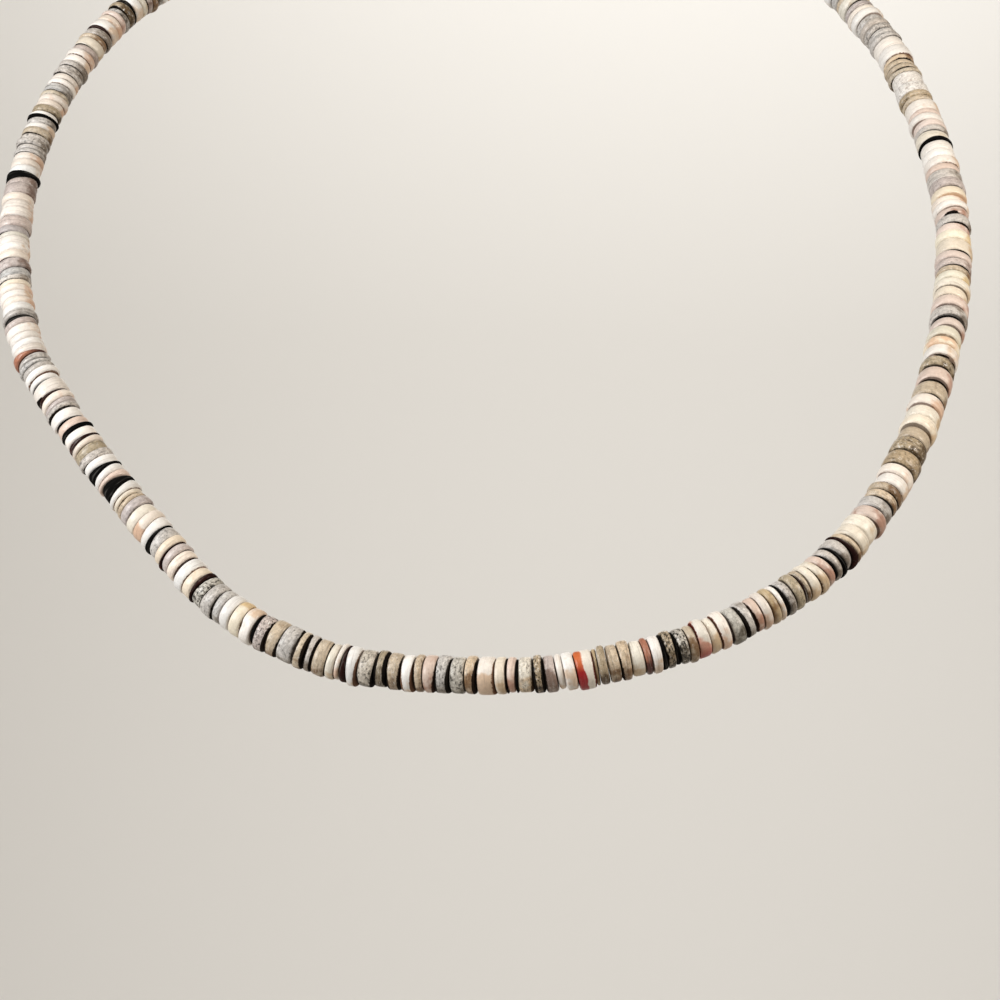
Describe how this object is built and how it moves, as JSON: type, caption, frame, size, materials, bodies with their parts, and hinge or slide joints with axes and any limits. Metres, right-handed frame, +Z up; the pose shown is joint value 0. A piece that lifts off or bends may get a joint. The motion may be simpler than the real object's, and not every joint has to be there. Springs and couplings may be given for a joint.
{
  "type": "heishi bead necklace",
  "caption": "Short necklace of thin drilled shell discs strung close together in whites, greys, pinks, tans and black, closed at the nape by a plain barrel clasp.",
  "frame": {"origin": "On the neck's axis, level with the middle of the worn loop: the front of the loop hangs below it and the nape stands above it.", "axes": "+Z up along the neck, -Y out of the throat where the loop hangs lowest, +Y towards the nape and the clasp, +X to the right of someone facing the wearer."},
  "size_m": [0.1381, 0.1289, 0.1178],
  "materials": {
    "shell_disc": "satin",
    "thread": "matte",
    "clasp": "satin"
  },
  "bodies": {
    "root": {"beads_left_1": "shell_disc", "beads_left_2": "shell_disc", "beads_left_3": "shell_disc", "beads_left_4": "shell_disc", "beads_left_5": "shell_disc", "beads_left_6": "shell_disc", "beads_left_7": "shell_disc", "beads_right_1": "shell_disc", "beads_right_2": "shell_disc", "beads_right_3": "shell_disc", "beads_right_4": "shell_disc", "beads_right_5": "shell_disc", "beads_right_6": "shell_disc", "beads_right_7": "shell_disc", "clasp": "clasp"}
  },
  "joints": []
}
